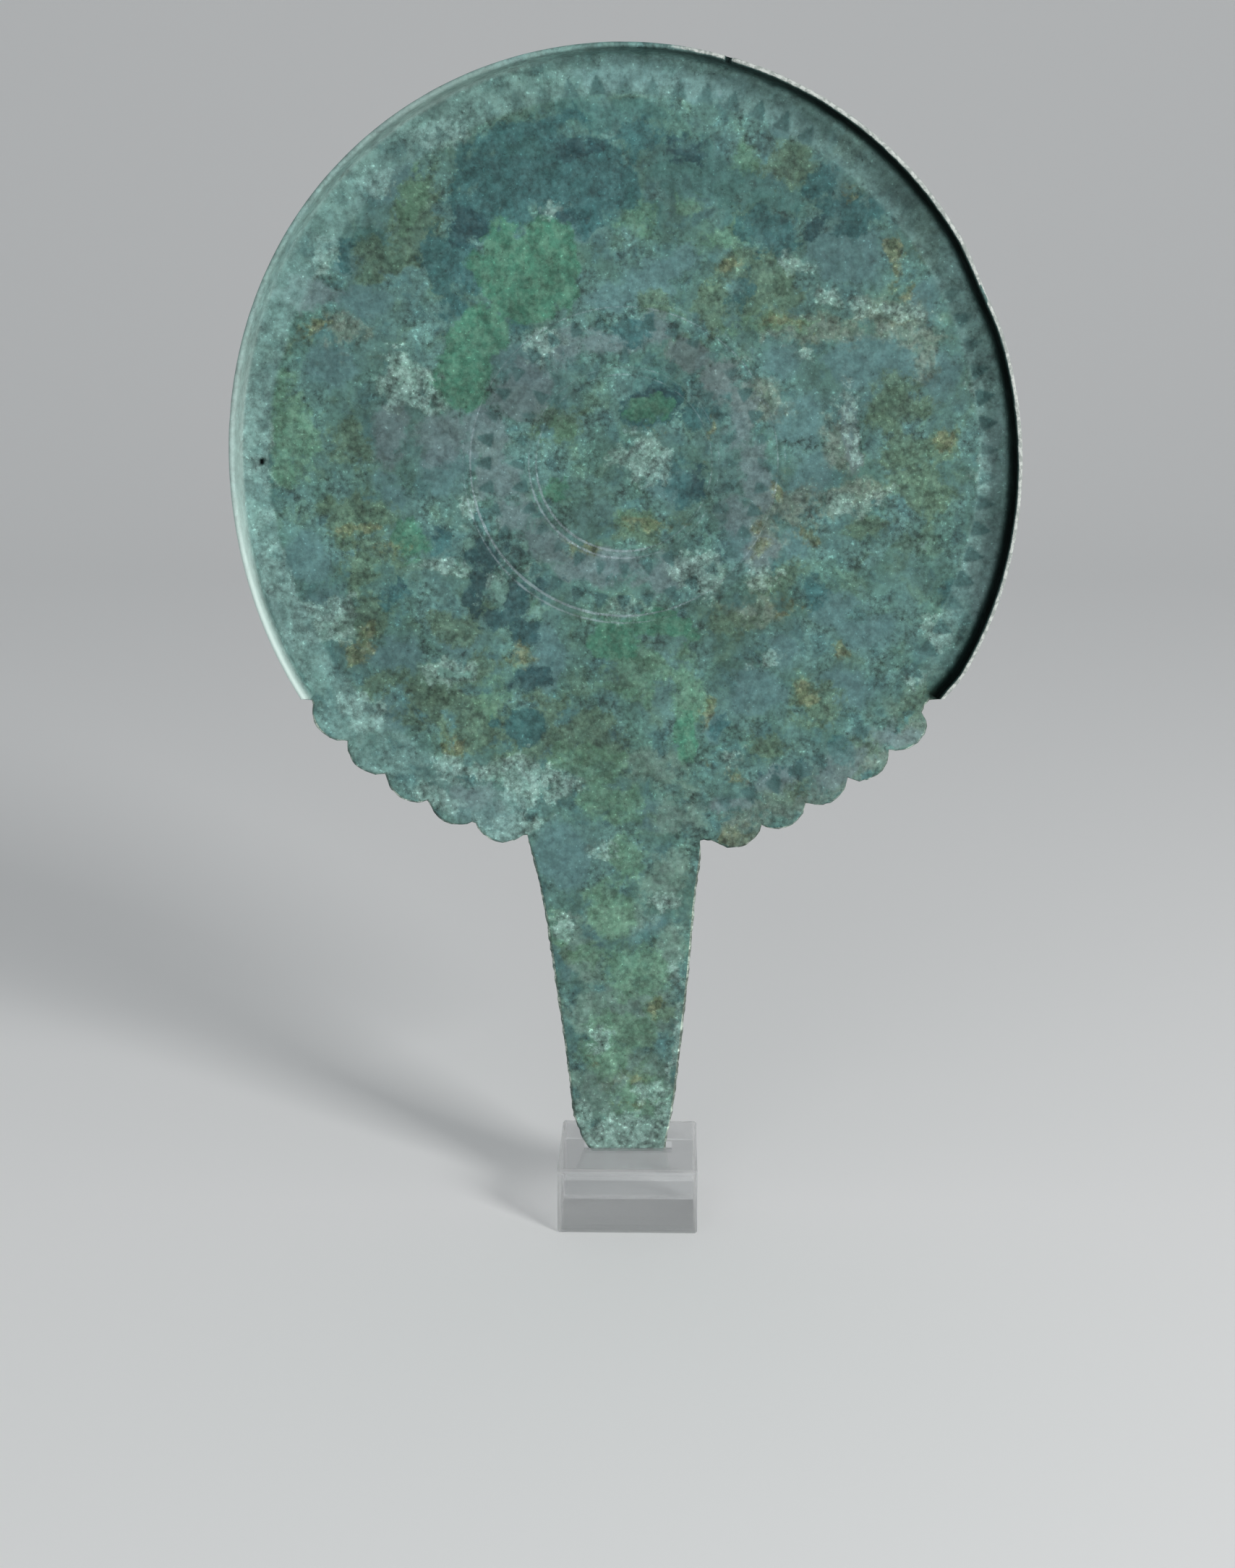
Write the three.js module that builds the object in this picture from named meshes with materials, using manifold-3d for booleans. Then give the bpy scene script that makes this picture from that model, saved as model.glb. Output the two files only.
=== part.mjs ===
// An ancient bronze hand mirror, cast in one piece, standing in a small clear acrylic block.
//
// The mirror is a round plate with a narrow flange turned up round its rim, a scalloped edge
// either side of the handle, and a flat handle that tapers down to its foot. The face carries a
// band of sunk tongues inside the rim, and two more rows of them between double rings at the centre.
//
// Units are millimetres. +Z is up and the decorated face looks towards -Y. The origin is the middle
// of the whole object's underside. Angles are in degrees about the disc's centre, anticlockwise
// from +X as seen from the front.

import * as THREE from 'three';
import { mergeGeometries, mergeVertices } from 'three/addons/utils/BufferGeometryUtils.js';
import Module from 'manifold-3d';

const wasm = await Module();
wasm.setup();

// ---- driving dimensions -------------------------------------------------------------------------

const DISC_X = -0.36;
const DISC_Z = 162.24;

const PLATE_THICKNESS = 3;
const PLATE_CHAMFER = 0.4;
const PLATE_FRONT = -PLATE_THICKNESS / 2;

// The lip's outline: a hand-raised round, a little taller than wide, with dents where it was bent.
const RIM_RADIUS = 82.3;
const RIM_WAVES = [
  { lobes: 2, height: 1.67, at: 92 },
  { lobes: 3, height: 0.36, at: 0 },
  { lobes: 4, height: 0.31, at: 58 },
];
const RIM_DENTS = [
  { at: 27, halfWidth: 8, depth: 0.5 },
  { at: -36, halfWidth: 6, depth: 0.8 },
];
const RIM_STEP = 2.5;

const FLANGE_HEIGHT = 7;
const FLANGE_FLARE = 0.4;
const FLANGE_CHAMFER = 0.6;
const FLANGE_END_Z = 115.5;
const FLANGE_LEFT_END = 215;
const FLANGE_RIGHT_END = -35;
// The flange's inner foot, as inset from the lip's outer edge and height above the plate's face.
const FLANGE_FILLET = [[3.4, -0.1], [2.3, 0.4], [1.7, 1.5]];
const LIP_THICKNESS = 1.2;
const LIP_NICK = { at: 75.8, halfWidth: 1, depth: 4.5, reach: 3 };

// Each scallop is part of a circle. Its reach, from the disc's centre, says how far it is worn.
const SCALLOP_RADIUS = 6.3;
const SCALLOP_PITCH = 7.5;
const SCALLOP_STEPS = 6;
const LEFT_SCALLOPS = { turn: -1, first: 19.4, reach: [83.7, 83.9, 84.1, 84.4, 84.4] };
const RIGHT_SCALLOPS = { turn: 1, first: 17.4, reach: [84.0, 83.5, 83.2, 84.0, 84.7] };

// The chip between the last scallop on the right and the flange, as angle and radius.
const CHIP_START = 320.3;
const CHIP_EDGE = [[320.8, 81], [322, 80.3], [323.6, 80.5]];

// The handle's edges from the disc down to the foot, as distance from the disc's middle and height.
const HANDLE_LEFT = [[-21.1, 84.6], [-19.5, 79.5], [-17.4, 70], [-15.2, 55], [-12.9, 38], [-11.1, 22.5]];
const HANDLE_RIGHT = [[17.0, 83.4], [16.4, 78.5], [15.3, 69], [14.2, 55], [12.4, 37], [10.8, 22.5]];
const HANDLE_STEPS = 14;
const FOOT_LEFT = [[-10.3, 19.4], [-8.6, 15.2]];
const FOOT_RIGHT = [[9.6, 16.4]];
const FOOT_HALF_WIDTH = 8.3;
const FOOT_X = 0.6;

// Engraving: its compass point stands a little above the disc's own centre.
const ENGRAVING_X = DISC_X;
const ENGRAVING_Z = DISC_Z + 1.2;
const CUT_DEPTH = 0.3;
const RING_WIDTH = 0.8;
const RING_STEPS = 72;
const RING_RADII = [18.2, 19.4, 31.7, 32.9];
// A tongue is an arch: half-way up it still has this share of its width either side of its middle.
const TONGUE_SHOULDER = 0.32;
const TONGUE_ROWS = [
  { radius: 72.9, length: 4.4, width: 4.1, count: 86 },
  { radius: 27.2, length: 3.8, width: 3.4, count: 36 },
  { radius: 20.3, length: 3.8, width: 3.2, count: 28 },
];

const BLOCK = { x: 0.71, width: 30, depth: 30, height: 14.4, chamfer: 0.4, yaw: -1.3 };
const SEAT_DEPTH = 1.2;
const SEAT_HALF_LENGTH = 9.6;
const FIT_GAP = 0.3;
const FOOT_Z = BLOCK.height - SEAT_DEPTH + FIT_GAP;

const OVERCUT = 1;

// ---- helpers ------------------------------------------------------------------------------------

const radians = THREE.MathUtils.degToRad;

function polar(angle, radius) {
  const turn = radians(angle);
  return new THREE.Vector2(DISC_X + radius * Math.cos(turn), DISC_Z + radius * Math.sin(turn));
}

function closedSolid(geometry) {
  geometry.deleteAttribute('normal');
  geometry.deleteAttribute('uv');
  const welded = mergeVertices(geometry);
  return new wasm.Manifold(new wasm.Mesh({
    numProp: 3,
    vertProperties: Float32Array.from(welded.attributes.position.array),
    triVerts: Uint32Array.from(welded.index.array),
  }));
}

function geometryOf(solid) {
  const mesh = solid.getMesh();
  const geometry = new THREE.BufferGeometry();
  geometry.setAttribute('position', new THREE.BufferAttribute(mesh.vertProperties, mesh.numProp));
  geometry.setIndex(new THREE.BufferAttribute(mesh.triVerts, 1));
  return geometry;
}

// Stands a flat shape up in the XZ plane, extruded from y = back towards the viewer by depth.
function standing(shape, back, depth, chamfer = 0) {
  const geometry = new THREE.ExtrudeGeometry(shape, {
    depth: depth - 2 * chamfer,
    bevelEnabled: chamfer > 0,
    bevelThickness: chamfer,
    bevelSize: chamfer,
    bevelOffset: -chamfer,
    bevelSegments: 1,
  });
  geometry.translate(0, 0, chamfer);
  geometry.rotateX(Math.PI / 2);
  geometry.translate(0, back, 0);
  return geometry;
}

// ---- the mirror's outline -----------------------------------------------------------------------

function dentAt(angle, dent) {
  const away = Math.abs(THREE.MathUtils.euclideanModulo(angle - dent.at + 180, 360) - 180);
  const fraction = Math.min(away / dent.halfWidth, 1);
  return dent.depth * (1 + Math.cos(Math.PI * fraction)) / 2;
}

function rimRadius(angle) {
  let radius = RIM_RADIUS;
  for (const wave of RIM_WAVES) {
    radius += wave.height * Math.cos(wave.lobes * radians(angle - wave.at));
  }
  for (const dent of RIM_DENTS) {
    radius -= dentAt(angle, dent);
  }
  return radius;
}

// One side's scalloped edge, from the handle outwards, for as many scallops as are asked for.
function scallopedEdge(side, scallops) {
  const points = [];
  for (let step = 0; step <= Math.round(scallops * SCALLOP_STEPS); step++) {
    const along = Math.min(step / SCALLOP_STEPS, scallops);
    const lobe = Math.min(Math.floor(along), side.reach.length - 1);
    const offset = radians((along - lobe - 0.5) * SCALLOP_PITCH);
    const centre = side.reach[lobe] - SCALLOP_RADIUS;
    const halfChord = Math.sqrt(SCALLOP_RADIUS ** 2 - (centre * Math.sin(offset)) ** 2);
    const angle = 270 + side.turn * (side.first + (along - 0.5) * SCALLOP_PITCH);
    points.push(polar(angle, centre * Math.cos(offset) + halfChord));
  }
  return points;
}

function handleEdge(stations) {
  const curve = new THREE.SplineCurve(stations.map(([x, z]) => new THREE.Vector2(DISC_X + x, z)));
  return curve.getSpacedPoints(HANDLE_STEPS);
}

function footEdge(stations) {
  return stations.map(([x, z]) => new THREE.Vector2(DISC_X + x, z));
}

function plateOutline() {
  const points = [];
  for (let angle = FLANGE_RIGHT_END; angle <= FLANGE_LEFT_END; angle += RIM_STEP) {
    points.push(polar(angle, rimRadius(angle) - FLANGE_FLARE));
  }
  points.push(...scallopedEdge(LEFT_SCALLOPS, LEFT_SCALLOPS.reach.length).reverse());
  points.push(...handleEdge(HANDLE_LEFT));
  points.push(...footEdge(FOOT_LEFT));
  points.push(new THREE.Vector2(FOOT_X - FOOT_HALF_WIDTH, FOOT_Z));
  points.push(new THREE.Vector2(FOOT_X + FOOT_HALF_WIDTH, FOOT_Z));
  points.push(...footEdge(FOOT_RIGHT));
  points.push(...handleEdge(HANDLE_RIGHT).reverse());
  const firstStart = 270 + RIGHT_SCALLOPS.first - SCALLOP_PITCH / 2;
  points.push(...scallopedEdge(RIGHT_SCALLOPS, (CHIP_START - firstStart) / SCALLOP_PITCH));
  points.push(...CHIP_EDGE.map(([angle, radius]) => polar(angle, radius)));
  return new THREE.Shape(points);
}

// ---- the mirror's parts -------------------------------------------------------------------------

// The flange is turned as a true ring, then eased out and in to follow the rim's outline.
function flange() {
  const lipY = PLATE_FRONT - FLANGE_HEIGHT;
  const section = [
    [0, lipY],
    [FLANGE_FLARE, PLATE_FRONT],
    [FLANGE_FLARE + FLANGE_CHAMFER, 0],
    [FLANGE_FILLET[0][0], 0],
    ...FLANGE_FILLET.map(([inset, height]) => [inset, PLATE_FRONT - height]),
    [LIP_THICKNESS, lipY],
    [0, lipY],
  ];
  const profile = section.map(([inset, y]) => new THREE.Vector2(RIM_RADIUS - inset, y));
  const ring = new THREE.LatheGeometry(profile, 360 / RIM_STEP);
  const position = ring.attributes.position;
  for (let i = 0; i < position.count; i++) {
    const x = position.getX(i);
    const z = position.getZ(i);
    const angle = THREE.MathUtils.radToDeg(Math.atan2(z, x));
    const easing = 1 + (rimRadius(angle) - RIM_RADIUS) / Math.hypot(x, z);
    position.setX(i, x * easing);
    position.setZ(i, z * easing);
  }
  ring.translate(DISC_X, 0, DISC_Z);
  const below = new THREE.BoxGeometry(4 * RIM_RADIUS, 4 * FLANGE_HEIGHT, 2 * RIM_RADIUS);
  below.translate(DISC_X, 0, FLANGE_END_Z - RIM_RADIUS);
  return closedSolid(ring).subtract(closedSolid(below));
}

function lipNick() {
  const nick = new THREE.Shape();
  nick.moveTo(-LIP_NICK.halfWidth, OVERCUT);
  nick.lineTo(0, -LIP_NICK.depth);
  nick.lineTo(LIP_NICK.halfWidth, OVERCUT);
  const cutter = new THREE.ExtrudeGeometry(nick, {
    depth: LIP_NICK.reach + OVERCUT,
    bevelEnabled: false,
  });
  cutter.translate(0, 0, rimRadius(LIP_NICK.at) - LIP_NICK.reach);
  cutter.scale(1, -1, -1);
  cutter.translate(0, PLATE_FRONT - FLANGE_HEIGHT, 0);
  cutter.rotateY(radians(-90 - LIP_NICK.at));
  cutter.translate(DISC_X, 0, DISC_Z);
  return closedSolid(cutter);
}

function tongueRow({ radius, length, width, count }) {
  const tongue = new THREE.Shape();
  tongue.moveTo(-width / 2, radius);
  tongue.lineTo(width / 2, radius);
  tongue.lineTo(TONGUE_SHOULDER * width, radius + length / 2);
  tongue.lineTo(0, radius + length);
  tongue.lineTo(-TONGUE_SHOULDER * width, radius + length / 2);
  const row = [];
  for (let i = 0; i < count; i++) {
    const cutter = standing(tongue, PLATE_FRONT + CUT_DEPTH, CUT_DEPTH + OVERCUT);
    cutter.rotateY(2 * Math.PI * i / count);
    row.push(cutter);
  }
  return row;
}

function ringGroove(radius) {
  const profile = [
    new THREE.Vector2(radius + RING_WIDTH, PLATE_FRONT - CUT_DEPTH),
    new THREE.Vector2(radius, PLATE_FRONT + CUT_DEPTH),
    new THREE.Vector2(radius - RING_WIDTH, PLATE_FRONT - CUT_DEPTH),
    new THREE.Vector2(radius + RING_WIDTH, PLATE_FRONT - CUT_DEPTH),
  ];
  return new THREE.LatheGeometry(profile, RING_STEPS);
}

function engraving() {
  const grooves = RING_RADII.map(ringGroove);
  const tongues = TONGUE_ROWS.flatMap(tongueRow);
  const cutters = [mergeGeometries(tongues), ...grooves];
  const solids = cutters.map((cutter) => {
    cutter.translate(ENGRAVING_X, 0, ENGRAVING_Z);
    return closedSolid(cutter);
  });
  return solids.reduce((all, next) => all.add(next));
}

function mirrorGeometry() {
  const plate = closedSolid(standing(plateOutline(), -PLATE_FRONT, PLATE_THICKNESS, PLATE_CHAMFER));
  return geometryOf(plate.add(flange()).subtract(lipNick()).subtract(engraving()));
}

// ---- the display block --------------------------------------------------------------------------

function blockGeometry() {
  const { width, depth, height, chamfer } = BLOCK;
  const plan = new THREE.Shape();
  plan.moveTo(-width / 2 + chamfer, -depth / 2);
  plan.lineTo(width / 2 - chamfer, -depth / 2);
  plan.lineTo(width / 2, -depth / 2 + chamfer);
  plan.lineTo(width / 2, depth / 2 - chamfer);
  plan.lineTo(width / 2 - chamfer, depth / 2);
  plan.lineTo(-width / 2 + chamfer, depth / 2);
  plan.lineTo(-width / 2, depth / 2 - chamfer);
  plan.lineTo(-width / 2, -depth / 2 + chamfer);
  const block = new THREE.ExtrudeGeometry(plan, {
    depth: height - 2 * chamfer,
    bevelEnabled: true,
    bevelThickness: chamfer,
    bevelSize: chamfer,
    bevelOffset: -chamfer,
    bevelSegments: 1,
  });
  block.translate(0, 0, chamfer);
  block.rotateZ(radians(BLOCK.yaw));
  block.translate(BLOCK.x, 0, 0);
  const seat = new THREE.BoxGeometry(
    2 * SEAT_HALF_LENGTH,
    PLATE_THICKNESS + 2 * FIT_GAP,
    2 * SEAT_DEPTH,
  );
  seat.translate(FOOT_X, 0, height);
  return geometryOf(closedSolid(block).subtract(closedSolid(seat)));
}

// ---- the object ---------------------------------------------------------------------------------

function mirror() {
  const patinatedBronze = new THREE.MeshStandardMaterial({
    color: 0x5d8a80,
    roughness: 0.8,
    metalness: 0.2,
  });
  const mesh = new THREE.Mesh(mirrorGeometry(), patinatedBronze);
  mesh.name = 'mirror';
  return mesh;
}

function displayBlock() {
  const clearAcrylic = new THREE.MeshStandardMaterial({
    color: 0xe8eef0,
    roughness: 0.05,
    metalness: 0,
    transparent: true,
    opacity: 0.35,
  });
  const mesh = new THREE.Mesh(blockGeometry(), clearAcrylic);
  mesh.name = 'display_block';
  return mesh;
}

const handMirror = new THREE.Group();
handMirror.add(mirror(), displayBlock());

export default handMirror;
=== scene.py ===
"""An ancient bronze hand mirror with a thick green patina, standing in a clear acrylic block.

The mirror is one cast piece: a round plate, a flange turned up round its rim, a scalloped edge
either side of the handle, and a flat handle that tapers to its foot. Lengths are millimetres until
the finished mesh is scaled to metres. Angles are degrees, anticlockwise from +X seen from the front.
"""

import math

import bmesh
import bpy
from mathutils import Matrix, Vector, kdtree, noise


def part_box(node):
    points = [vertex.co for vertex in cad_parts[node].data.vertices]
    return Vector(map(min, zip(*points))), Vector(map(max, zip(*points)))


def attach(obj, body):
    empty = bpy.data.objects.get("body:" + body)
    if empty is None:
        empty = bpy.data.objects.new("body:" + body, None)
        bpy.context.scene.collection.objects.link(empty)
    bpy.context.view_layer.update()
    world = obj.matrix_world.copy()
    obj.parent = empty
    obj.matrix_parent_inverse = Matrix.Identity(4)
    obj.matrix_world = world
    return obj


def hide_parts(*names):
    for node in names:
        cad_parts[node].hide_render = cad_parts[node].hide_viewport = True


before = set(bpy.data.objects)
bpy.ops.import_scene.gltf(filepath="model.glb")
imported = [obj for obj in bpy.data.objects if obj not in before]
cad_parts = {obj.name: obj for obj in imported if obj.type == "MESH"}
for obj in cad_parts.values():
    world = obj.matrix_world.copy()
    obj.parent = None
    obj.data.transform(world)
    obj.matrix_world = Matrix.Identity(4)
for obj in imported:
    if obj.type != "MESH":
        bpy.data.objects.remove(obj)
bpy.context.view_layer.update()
noise.seed_set(7)  # so that every run gives the same surface

METRE = 0.001  # one millimetre, in metres
WELD = 0.002

# ---- driving dimensions ----

DISC_X, DISC_Z = -0.36, 162.24
ENGRAVING_X, ENGRAVING_Z = DISC_X, DISC_Z + 1.2
FRONT_Y, BACK_Y = -1.5, 1.5

RIM_RADIUS = 82.3
RIM_WAVES = [(2, 1.67, 92), (3, 0.36, 0), (4, 0.31, 58)]  # lobes, height, where the first lobe is
RIM_DENTS = [(27, 8, 0.5), (-36, 6, 0.8)]  # where, half width, depth
PLATE_INSET = 0.4  # the plate's edge stands this far inside the flared lip

FLANGE_END_Z = 115.5
FLANGE_LEFT_END, FLANGE_RIGHT_END = 215, -35
LIP_Y = -8.5
LIP_NICK = {"at": 75.8, "half_width": 1.1, "depth": 4.5}
LIP_BURR = {"at": 54.9, "half_width": 0.9, "height": 0.35}

# The flange's section from the front face, over the lip and down to the back face, as the inset
# from the lip's outer edge and the depth.
FLANGE_SECTION = [
    (3.4, FRONT_Y), (2.8, -1.62), (2.3, -1.9), (1.95, -2.4), (1.75, -3.1), (1.62, -4.2),
    (1.5, -5.5), (1.35, -6.8), (1.22, -7.8), (1.0, -8.35), (0.6, LIP_Y), (0.2, -8.35),
    (0.0, -7.8), (0.08, -6.0), (0.22, -4.0), (0.33, -2.5), (0.4, -1.2), (0.4, 0.6),
    (0.5, 1.15), (0.8, 1.45), (1.4, BACK_Y),
]
FIRST_WALL, LAST_WALL = 1, 15  # the section's points that belong to the flange alone
EDGE_INSET = 1.2  # how far a plain edge's rounding reaches in from the outline
EDGE_FULLNESS = 0.65  # below 1, the edge is fuller than a half round

SCALLOP_RADIUS, SCALLOP_PITCH = 6.3, 7.5
LEFT_FIRST, LEFT_REACH = 19.4, [83.7, 83.9, 84.1, 84.4, 84.4]
RIGHT_FIRST, RIGHT_REACH = 17.4, [84.0, 83.5, 83.2, 84.0, 84.7]
CHIP_START = 320.3
CHIP_EDGE = [(320.8, 81.0), (322.0, 80.3), (323.6, 80.5)]

HANDLE_LEFT = [(-21.1, 84.6), (-19.5, 79.5), (-17.4, 70), (-15.2, 55), (-12.9, 38), (-11.1, 22.5),
               (-10.3, 19.4), (-8.6, 15.2), (-7.34, 13.5)]
HANDLE_RIGHT = [(17.0, 83.4), (16.4, 78.5), (15.3, 69), (14.2, 55), (12.4, 37), (10.8, 22.5),
                (9.6, 16.4), (9.26, 13.5)]
FOOT_Z = 13.5

RING_RADII = [18.2, 19.4, 31.7, 32.9]
RING_HALF_WIDTH, CUT_DEPTH = 0.4, 0.3
TONGUES_CLEAR = [(80, 32), (5, 30), (300, 22), (335, 20)]  # where the rim's tongues show: angle, spread
TONGUE_ROWS = [  # base radius, length, width, count
    (72.9, 4.4, 4.1, 86),
    (27.2, 3.8, 3.4, 36),
    (20.3, 3.8, 3.2, 28),
]

# The plate's rings of vertices. A zone has 43 spokes, doubled so many times, and reaches out to
# a radius with its rings a step apart. Four doublings put 8 spokes to each tongue by the rim.
SECTOR_SPOKES, RIM_DOUBLINGS = 43, 4
FRONT_HOLE, BACK_HOLE = 0.7, 1.6  # the first rings' radii, closed by a fan of faces
FRONT_ZONES = [(0, 2.5, 0.6), (1, 6.5, 0.55), (2, 14, 0.55), (3, 34.6, 0.5)]
FIELD_STEP, BAND_START, BAND_STEP = 0.9, 71.6, 0.5
BACK_ZONES = [(0, 5, 1.5), (1, 14, 1.6), (2, 35, 1.8), (3, 74, 2.0)]
BACK_STEP = 1.6
SHAPED_FROM = 64  # rings outside this radius ease out to the real outline
HANDLE_ROW = 0.8
EDGE_CRUST, EDGE_EASE = 0.22, 0.1  # the plain edges' own crust, and how far they stand back for it
CURVE_STEPS = 6
NECK_FADE = 4  # the handle's own width holds from this far below the neck
FACE_BAND = 0.3  # a place this close to the decorated face still belongs to it

# The rim's paler band, the lime-coloured painted light on it, the paler foot and the crust on the edges.
BAND_PALE = (71.5, 74.0)  # the band sets in between these radii
BAND_GAP = (17, 25)  # and fades out this close to the handle's middle line
BAND_DULL = [  # where it is duller: angle, spread, how much
    (305, 45, 0.6), (128, 45, 0.3), (78, 40, 0.3), (228, 26, 0.4), (245, 14, 0.3),
]
PALE_BAND = {"at": 185, "spread": 38, "full": 5, "amount": 0.06}  # painted light in lime's colour on the band, beside the lit left wall
PALE_BAND_START = (74, 77)
PALE_FOOT = {"low": 14, "high": 24, "amount": 0.14}  # and the handle gets paler towards its foot
EDGE_PALE, HANDLE_EDGE_CRUST_AND_HIGHLIGHT = 0.6, 1.0  # how crusted the edges are, and the handle's right edge, crust with a painted highlight where it faces the light

# The lip and the flange's inner wall, with a painted highlight on the lip and painted shade and lime on
# the wall. An inset is measured in from the lip's outer edge.
BAND_END = 79.5  # the plain face's reach, up to the flange's fillet
LIP_EASE, LIP_CRUST = 0.03, 0.4  # the lip stands back this far, and has this share of the crust
LIP_HIGHLIGHT_DEPTHS = (7.3, 8.0)  # a highlight is painted on the lip between these depths
LIP_HIGHLIGHT_INSETS = (1.1, 0.8)  # and between these insets
LIP_HIGHLIGHT_STRETCH = {"at": 12, "half_width": 58, "fade": 26, "least": 0.12}  # most of all along this stretch
NICK_HIGHLIGHT = (3.2, 1.4)  # and this close to the nick, which is painted dark inside as shade
NICK_SHADE, NICK_REACH = 0.9, (1.5, 1.0)
INNER_WALL = (0.7, 1.1)  # past this inset a place faces in from the lip
SHADE_RUN = [(-120, 0), (-60, 1), (60, 1), (75, 0.82), (90, 0.6), (105, 0)]  # angle, how dark the painted shade is
SHADE_FADE = (2.9, 1.45)  # the painted shade thins out from the second inset to the first
SHADE_NARROW, SHADE_TOP = 0.4, (60, 90)  # and this much closer to the lip past the second angle
LIME_AND_LIGHT_RUN = [  # angle, how white with lime and painted light
    (88, 0), (105, 0.26), (120, 0.36), (135, 0.26), (150, 0.24), (160, 0.32), (170, 0.46),
    (182, 0.5), (190, 0.72), (200, 1), (222, 1), (223, 0),
]
LIME_AND_LIGHT_REACH = [(100, 2.8), (180, 2.6), (190, 2.2), (200, 1.9), (222, 1.8)]  # angle, inset it reaches
LIME_AND_LIGHT_THINS = 0.9  # over this much of its reach
LIME_AND_LIGHT_OUTSIDE = (3.5, 0.5)  # how far behind the lip it fades on the flange's outside

# The engraving and the damage on the face.
LINES_CLEAR, LINES_FADE, LINES_LEAST = 235, (75, 15), 0.5  # the rings' pale lines show best here
LINE_CORE = (0.1, 0.8)
TONGUES_LEAST = 0.4  # the share of its depth that a rim tongue keeps where they hardly show
TONGUE_TAPER = 0.72  # how fast a tongue narrows up to half its length, where its point begins
CRACK_WIDTH, CRACK_START, CRACK_LENGTH, CRACK_PALE = (0.7, 0.1), 75.0, 1.5, 0.45  # in from the nick
PIT = {"at": 179.7, "radius": 74.4, "size": 0.9, "depth": 0.7}

# The corrosion crust.
CRUST_WAVES = [(0.05, 0.10, 0.9, 3), (0.33, 0.045, 0.8, 4)]  # how fine, height, roughness, layers
FINER = 2.1  # each of those layers is this many times finer than the last
WARTS = {"size": 2.6, "height": 0.10, "fewest": 0.82}
HOLLOWS = {"size": 1.9, "height": 0.12, "fewest": 0.86}
WANDER = [(0.12, 2.2), (0.45, 1.1)]  # how a patch's border wanders: how fine, how far
PATCH_SPAN = 4  # a patch's value runs from 0 at its border to 1 this far inside it
FRONT_HALF = 0.01  # patches reach just past the middle of the plate's thickness
OUT_OF_REACH = 1000  # the depth given to places that no patch may reach

BLOCK_X, BLOCK_YAW, BLOCK_WIDTH, BLOCK_HEIGHT, FROST_WIDTH = 0.71, -1.3, 30, 14.4, 1.1

# The studio, in metres and degrees.
SHIFT_STEP = 0.37  # how far apart in space two grains of the same size are taken
SWEEP_WIDTH, SWEEP_START, SWEEP_RADIUS, SWEEP_TOP, SWEEP_STEPS = 8, 1.0, 1.2, 3, 32
LIT_MIDDLE = (0, 0, 0.15)
LAMPS = [  # name, place, size, watts
    ("key", (0.78, -0.92, 0.6), (0.3, 0.4), 9.5),
    ("fill", (-0.25, -1.3, 0.9), (0.9, 0.9), 2),
]
SKY_COLOUR, SKY_STRENGTH, FLOOR_COLOUR = (0.80, 0.83, 0.86), 0.45, (0.92, 0.92, 0.91)
CAMERA_PLACE, CAMERA_TILT, CAMERA_LENS = (-0.00170, -0.49846, 0.20943), 77.14, 55.34


def placed(name, data):
    """Puts a new object into the scene."""
    made = bpy.data.objects.new(name, data)
    bpy.context.scene.collection.objects.link(made)
    return made


# ---- outlines ----

def away(angle, other):
    """How far apart two angles are."""
    return abs((angle - other + 180) % 360 - 180)


def between(points, x):
    """The height at x of a line through points, held level past its ends."""
    if x <= points[0][0]:
        return points[0][1]
    for (x0, y0), (x1, y1) in zip(points, points[1:]):
        if x <= x1:
            return y0 + (y1 - y0) * (x - x0) / (x1 - x0)
    return points[-1][1]


def smooth(low, high, x):
    """A soft step from 0 at low to 1 at high."""
    t = min(max((x - low) / (high - low), 0), 1)
    return t * t * (3 - 2 * t)


def rim_radius(angle):
    """The lip's outer edge, about the disc's centre."""
    radius = RIM_RADIUS
    for lobes, height, at in RIM_WAVES:
        radius += height * math.cos(math.radians(lobes * (angle - at)))
    for at, half_width, depth in RIM_DENTS:
        radius -= depth * (1 + math.cos(math.pi * min(away(angle, at) / half_width, 1))) / 2
    return radius


def scallop(along, reach):
    """The radius part of the way along a side's scallops."""
    lobe = min(int(along), len(reach) - 1)
    offset = math.radians((along - lobe - 0.5) * SCALLOP_PITCH)
    centre = reach[lobe] - SCALLOP_RADIUS
    return centre * math.cos(offset) + math.sqrt(SCALLOP_RADIUS ** 2 - (centre * math.sin(offset)) ** 2)


def corner(x, z):
    """A point's angle and radius about the disc's centre. x is measured from that centre."""
    return math.degrees(math.atan2(z - DISC_Z, x)) % 360, math.hypot(x, z - DISC_Z)


LEFT_START = 270 - LEFT_FIRST + SCALLOP_PITCH / 2
LEFT_END = LEFT_START - SCALLOP_PITCH * len(LEFT_REACH)
RIGHT_START = 270 + RIGHT_FIRST - SCALLOP_PITCH / 2
NECK_LEFT, NECK_RIGHT = corner(*HANDLE_LEFT[0]), corner(*HANDLE_RIGHT[0])
LOWER_RIM = [  # the plain stretches of the lower edge, as angle and radius
    (FLANGE_LEFT_END, rim_radius(FLANGE_LEFT_END) - PLATE_INSET),
    (LEFT_END, scallop(len(LEFT_REACH), LEFT_REACH)),
    (LEFT_START, scallop(0, LEFT_REACH)),
    NECK_LEFT,
    NECK_RIGHT,
    (RIGHT_START, scallop(0, RIGHT_REACH)),
    (CHIP_START, scallop((CHIP_START - RIGHT_START) / SCALLOP_PITCH, RIGHT_REACH)),
    *CHIP_EDGE,
    (FLANGE_RIGHT_END + 360, rim_radius(FLANGE_RIGHT_END) - PLATE_INSET),
]


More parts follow.
